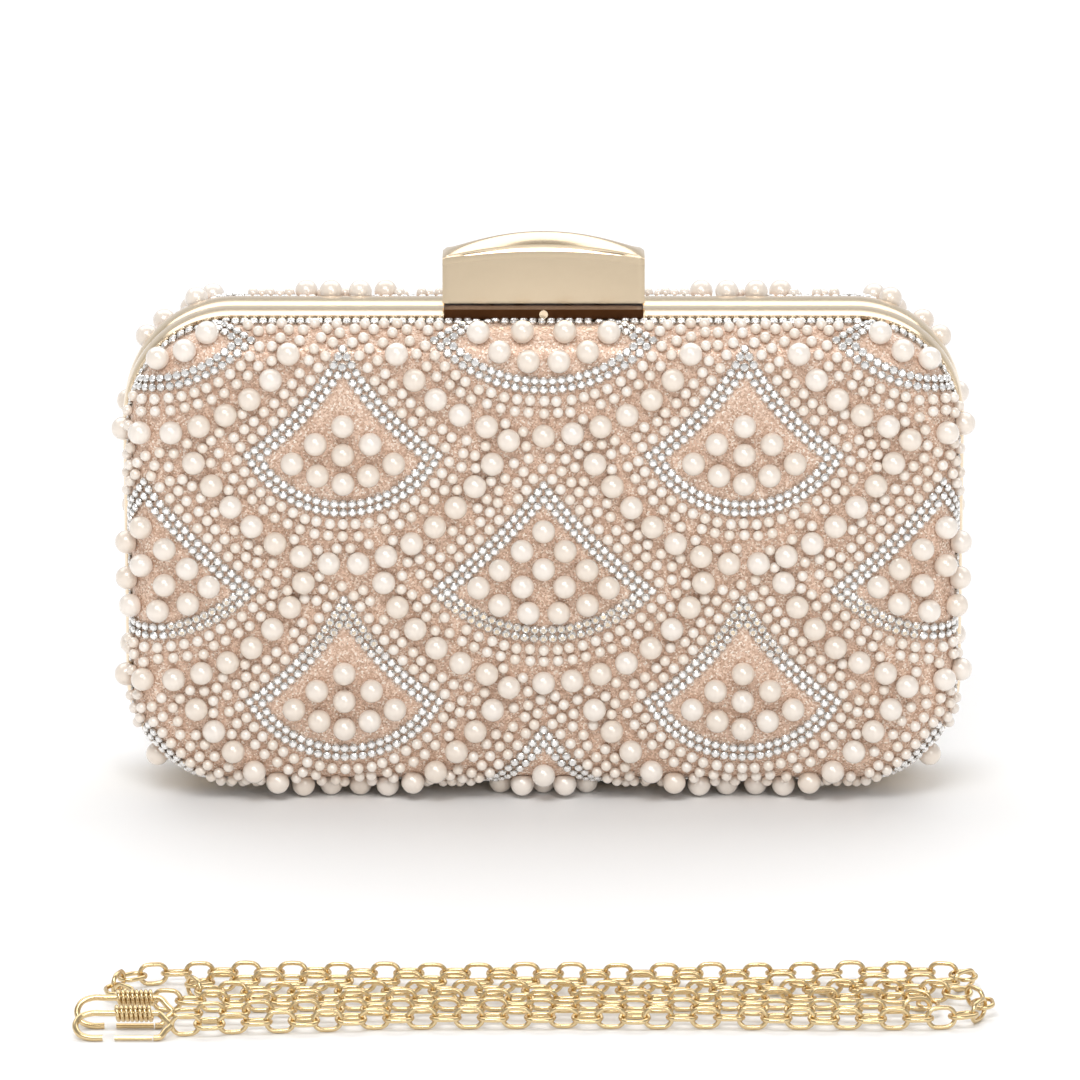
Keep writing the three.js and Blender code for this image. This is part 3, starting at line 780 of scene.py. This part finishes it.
def stone_setting():
    """A square cup with four claws that hold a crystal."""
    sides = 8
    outer, inner = CRYSTAL / 2, CRYSTAL / 2 * 0.88
    levels = [(outer * 0.9, 0.0), (outer, 0.55), (inner, 0.58), (inner, 0.3)]
    points, faces = [], []
    for reach, height in levels:
        for k in range(sides):
            turn = 2 * math.pi * k / sides
            points.append((reach * math.cos(turn), reach * math.sin(turn), height))
    for level in range(len(levels) - 1):
        for k in range(sides):
            a, b = level * sides + k, level * sides + (k + 1) % sides
            faces.append((a, b, b + sides, a + sides))
    faces.append(tuple(reversed(range(sides))))
    for claw in range(4):
        turn = math.pi / 4 + claw * math.pi / 2
        out = np.array([math.cos(turn), math.sin(turn), 0])
        beside = np.array([-out[1], out[0], 0])
        start = len(points)
        for reach, height in ((outer * 1.04, 0.2), (outer * 1.0, 0.75), (inner * 0.78, 1.0),
                              (inner * 0.8, 0.2)):
            for hand in (-1, 1):
                points.append(tuple(out * reach + beside * hand * 0.17 + np.array([0, 0, height])))
        for step in range(3):
            a = start + 2 * step
            faces.append((a, a + 1, a + 3, a + 2))
        faces.append((start + 6, start + 7, start + 1, start))
        faces.append((start, start + 2, start + 4, start + 6))
        faces.append((start + 7, start + 5, start + 3, start + 1))
    return np.array(points, float), faces


def frame_axes(normal, spin):
    """Axes whose third is the normal, turned about it."""
    guide = np.array([1.0, 0, 0]) if abs(normal[0]) < 0.9 else np.array([0, 0, 1.0])
    first = guide - normal * guide.dot(normal)
    first /= np.linalg.norm(first)
    second = np.cross(normal, first)
    turned = first * math.cos(spin) + second * math.sin(spin)
    return np.column_stack([turned, np.cross(normal, turned), normal])


def make_stones(half, side):
    """The pearls and crystals of one half, one piece for each kind."""
    stones = lay_stones(side)
    rng = np.random.default_rng(5)
    body = f"{half}_half"
    shades = len(PEARLS)
    large = [(0, place, frame_axes(normal, 0), int(rng.integers(shades)))
             for place, normal in stones["pearl"]]
    small = [(0, place, frame_axes(normal, 0), int(rng.integers(shades)))
             for place, normal in stones["seed"]]
    turned = [(0, place, frame_axes(normal, rng.uniform(-0.5, 0.5)), 0)
              for place, normal in stones["crystal"]]
    pieces = [
        ("large_pearls", [ball(PEARL, 24, 10, 0.64)], large, PEARLS, True, "pearl"),
        ("small_pearls", [ball(SEED, 14, 6, 0.8)], small, PEARLS, True, "pearl"),
        ("crystals", [cut_stone()], turned, [CRYSTAL_GLASS], False, "crystal"),
        ("crystal_settings", [stone_setting()], turned, [SETTING], False, "crystal"),
    ]
    for name, shapes, places, materials, smooth, slot in pieces:
        made = instances(f"{half}_{name}", shapes, places, materials, smooth)
        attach(made, body)


# ---------------------------------------------------------------- soft shells and linings
def dish_rings(side, outer, inner):
    profile = list(reversed(inner)) + list(outer)
    return [outline(offset, side * depth) for offset, depth in profile]


def make_cover(half, side):
    """Glitter fabric, turned in at the rim with a fold."""
    outer = dish_profile(0, WALL_START + 0.5)
    outer.insert(0, (-0.4, WALL_START))
    inner = dish_profile(-SKIN_THICKNESS, WALL_START)
    made = loft(f"{half}_glitter_fabric", dish_rings(side, outer, inner), [GLITTER], caps=True)
    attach(made, f"{half}_half")
    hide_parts(f"{half}_cover")


def make_lining(half, side):
    """Satin glued into the shell, with a rolled edge and slight puckers near its rim."""
    outside = FRAME_INNER - GAP
    rim = FRAME_DEPTH + 0.5
    outer = dish_profile(outside, rim)
    inner = dish_profile(outside - LINING_THICKNESS, rim + 0.4)
    roll = [(outside - 0.3, rim - 0.25), (outside - 0.9, rim - 0.1)]
    profile = list(reversed(outer)) + roll + inner
    rings = []
    for index, (offset, depth) in enumerate(profile):
        ring = np.array(outline(offset, side * depth))
        if index > len(outer) + 2:
            depth_share = min(1, (index - len(outer) - 2) / 3)
            turn = np.arange(len(ring)) * 2.4
            ring[:, 1] -= side * 0.12 * depth_share * (1 + np.sin(turn))
        rings.append(ring)
    made = loft(f"{half}_satin_lining", rings, [SATIN], caps=True)
    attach(made, f"{half}_half")
    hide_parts(f"{half}_lining")


def make_pocket():
    """The slip pocket: a bellied satin panel, gathered at its hemmed top."""
    low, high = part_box("inner_pocket")
    x0, x1 = low[0] / MM, high[0] / MM
    y0, y1 = low[1] / MM, high[1] / MM
    z0, z1 = low[2] / MM, high[2] / MM
    across, up = 61, 25
    grid = []
    for j in range(up):
        row = []
        for i in range(across):
            s, t = i / (across - 1), j / (up - 1)
            edge = max(0.0, 1 - 8 * min(s, 1 - s)) ** 2 + max(0.0, 1 - 5 * t) ** 2
            y = y0 + 0.5 + (y1 - y0 - 1.2) * min(1, edge) + 0.25 * math.sin(s * 90) * t**3
            row.append((x0 + (x1 - x0) * s, y, z0 + (z1 - z0 - 1) * t))
        grid.append(row)
    panel = loft("pocket_panel", grid, [SATIN], closed_rings=False)
    thick = panel.modifiers.new("cloth", "SOLIDIFY")
    thick.thickness = 0.7 * MM
    thick.offset = 0
    hem_line = [(x, y - 0.15, z) for x, y, z in grid[-1]]
    hem = tube("pocket_hem", hem_line, 0.75, [SATIN])
    hem.parent = panel
    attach(panel, "back_half")
    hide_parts("inner_pocket")


# ---------------------------------------------------------------- frame and clasp
def frame_profile():
    """The rolled bead of a frame half, its parting face, inner wall and flange."""
    profile = [(FRAME_INNER, PARTING), (FRAME_PROUD - 1.3, PARTING),
               (FRAME_PROUD - 0.7, PARTING + 0.12)]
    steps = 14
    for step in range(1, steps):
        share = step / steps
        rise = math.sin(share * math.pi) ** 0.6
        profile.append((FRAME_PROUD - 0.75 + 0.75 * rise,
                        PARTING + 0.1 + (FRAME_DEPTH - 0.3) * share))
    profile += [(FRAME_PROUD - 0.8, FRAME_DEPTH), (FRAME_PROUD - 1.6, FRAME_DEPTH),
                (FRAME_PROUD - 1.6, 1.2), (FRAME_INNER + FRAME_WALL, 1.2),
                (FRAME_INNER + FRAME_WALL, FRAME_FLANGE), (FRAME_INNER, FRAME_FLANGE)]
    return profile


def block(name, low, high):
    """A box that only serves as a cutter."""
    corners = list(itertools.product(*zip(low, high)))
    faces = [(0, 1, 3, 2), (4, 6, 7, 5), (0, 4, 5, 1), (2, 3, 7, 6), (0, 2, 6, 4), (1, 5, 7, 3)]
    return mesh_object(name, corners, faces, [], smooth=False)


def apply_modifiers(made):
    """Turns a piece's modifiers into its own mesh."""
    bpy.context.view_layer.update()
    graph = bpy.context.evaluated_depsgraph_get()
    done = bpy.data.meshes.new_from_object(made.evaluated_get(graph))
    made.modifiers.clear()
    made.data = done


def carve(made, low, high):
    """Cuts a box out of a piece, and applies the cut."""
    cutter = block("cutter", low, high)
    cut = made.modifiers.new("cut", "BOOLEAN")
    cut.object = cutter
    cut.operation = "DIFFERENCE"
    cut.solver = "EXACT"
    apply_modifiers(made)
    bpy.data.objects.remove(cutter)


def make_frame(half, side):
    rings = [outline(offset, side * depth) for offset, depth in frame_profile()]
    made = loft(f"{half}_frame_bead", rings, [GOLD], loop=True)
    near, far = sorted((0.0, side * TROUGH["depth"]))
    carve(made, (-TROUGH["half"], near, -1), (TROUGH["half"], far, TROUGH["top"]))
    soften(made, 0.5)
    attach(made, f"{half}_half")
    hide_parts(f"{half}_frame")


def clasp_section(x, place, half_depth):
    """The bar's cross-section at one station; place runs from -1 to 1 along the bar."""
    fillet = 0.45 * (1 - math.sqrt(max(0, 1 - max(0, (abs(place) - 0.98) / 0.02) ** 2)))
    bow = 1 - place**2
    edge = CLASP_EDGE["ends"] + CLASP_EDGE["rise"] * bow - fillet
    ridge = CLASP_RIDGE["ends"] + CLASP_RIDGE["rise"] * bow - fillet
    reach = half_depth - fillet
    soft = 0.35  # radius of the crease
    top = CLASP_LEAN - reach
    section = [(x, -reach, CLASP["front"]), (x, -reach + 0.8 * CLASP_LEAN, edge - 2),
               (x, top, edge - soft), (x, top + 0.3 * soft, edge - 0.3 * soft)]
    for s in np.linspace(-1, 1, 25)[1:-1]:
        y = max(s * reach, top + 0.5)
        section.append((x, y, edge + (ridge - edge) * math.cos(s * math.pi / 2) + 0.02))
    section += [(x, reach - 0.3 * soft, edge - 0.3 * soft), (x, reach, edge - soft),
                (x, reach, edge - 2), (x, reach, CLASP["rear"])]
    return section


def make_clasp_bar():
    """The arched bar: a crisp crease between its front wall and its pillowed crown."""
    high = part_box("clasp_bar")[1]
    half, half_depth = high[0] / MM, high[1] / MM
    rings = [clasp_section(half * place, place, half_depth) for place in np.linspace(-1, 1, 49)]
    made = loft("clasp_bar_cover", rings, [GOLD], closed_rings=False)
    close_ends(made, len(rings), len(rings[0]))
    wall = made.modifiers.new("wall", "SOLIDIFY")
    wall.thickness = CLASP["wall"] * MM
    wall.offset = -1
    apply_modifiers(made)
    soften(made, 0.45)
    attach(made, "clasp")
    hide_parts("clasp_bar")
    for hand in (-1, 1):
        make_lug(hand, made)


def close_ends(made, rings, count):
    """Flat ends for a lofted strip whose sections are open below."""
    work = bmesh.new()
    work.from_mesh(made.data)
    work.verts.ensure_lookup_table()
    work.faces.new([work.verts[i] for i in range(count)])
    work.faces.new([work.verts[(rings - 1) * count + i] for i in reversed(range(count))])
    bmesh.ops.recalc_face_normals(work, faces=work.faces)
    work.to_mesh(made.data)
    work.free()


def make_lug(hand, bar):
    """One ear of the bar, on the clasp's pin."""
    sides = 20
    rings = []
    for x in (hand * LUG["inner"], hand * LUG["outer"]):
        ring = []
        for k in range(sides):
            turn = 2 * math.pi * k / sides
            rise = LUG["radius"] if math.sin(turn) < 0 else LUG["reach"]
            ring.append((x, LUG["y"] + LUG["radius"] * math.cos(turn),
                         LUG["z"] + rise * math.sin(turn)))
        rings.append(ring)
    lug = loft("clasp_lug_right" if hand > 0 else "clasp_lug_left", rings, [GOLD], caps=True)
    soften(lug, 0.6)
    lug.parent = bar


# ---------------------------------------------------------------- what stays from the CAD
def finish_cad_nodes():
    """Gives every CAD piece its material; those that a drawn piece replaces stay hidden."""
    # The catch plate takes the painted shade of the gap under the clasp bar.
    wanted = {
        "strap_hook": STRAP_GOLD, "strap_loop": GOLD, "hinge_pin": STEEL, "clasp_pin": STEEL,
        "clasp_spring": STEEL, "clasp_hook": STEEL, "catch_plate": PAINTED_SHADE_GOLD, "shell": BOARD,
    }
    for name, made in nodes.items():
        chosen = next((finish for key, finish in wanted.items() if key in name), GOLD)
        made.data.materials.clear()
        made.data.materials.append(chosen)
        soften(made, 0.7)


# ---------------------------------------------------------------- floor and light
def make_floor():
    size = 6000
    paint = material("floor", (0.93, 0.93, 0.93), 0.6)
    link_noise_bump(paint, 60, 0.00002)
    corners = [(-size, -size, 0), (size, -size, 0), (size, size, 0), (-size, size, 0)]
    mesh_object("floor", corners, [(0, 1, 2, 3)], [paint])


def area_light(name, place, target, size, power):
    """A rectangular lamp that faces a point, in metres and watts."""
    data = bpy.data.lights.new(name, "AREA")
    data.shape = "RECTANGLE"
    data.size, data.size_y = size
    data.energy = power
    lamp = bpy.data.objects.new(name, data)
    bpy.context.scene.collection.objects.link(lamp)
    lamp.location = place
    lamp.rotation_euler = (Vector(target) - Vector(place)).to_track_quat("-Z", "Y").to_euler()


def make_world():
    """A studio that is bright at the horizon and dimmer overhead."""
    world = bpy.data.worlds.new("studio")
    bpy.context.scene.world = world
    world.use_nodes = True
    tree = world.node_tree
    way = tree.nodes.new("ShaderNodeTexCoord")
    split = tree.nodes.new("ShaderNodeSeparateXYZ")
    ramp = tree.nodes.new("ShaderNodeValToRGB")
    ramp.color_ramp.elements[0].color = (*grey(0.85), 1)
    ramp.color_ramp.elements[1].color = (*grey(0.36), 1)
    ramp.color_ramp.elements[1].position = 0.6
    tree.links.new(way.outputs["Generated"], split.inputs["Vector"])
    tree.links.new(split.outputs["Z"], ramp.inputs["Fac"])
    tree.links.new(ramp.outputs["Color"], tree.nodes["Background"].inputs["Color"])


def make_lights():
    middle = (0, 0, 0.06)
    area_light("key", (-0.15, -0.9, 1.1), middle, (0.7, 0.5), 8)
    area_light("fill", (0.5, -1.3, 0.7), middle, (0.4, 0.5), 3)
    area_light("back", (0, 1.1, 1.5), (0, 0.9, 0), (3.2, 2.0), 34)
    bpy.context.scene.view_settings.view_transform = "Standard"


# ---------------------------------------------------------------- build
make_camera()
make_chain()
finish_cad_nodes()
for half, side in (("front", -1), ("back", 1)):
    make_cover(half, side)
    make_lining(half, side)
    make_frame(half, side)
    make_stones(half, side)
make_pocket()
make_clasp_bar()
make_floor()
make_world()
make_lights()

bpy.context.view_layer.update()
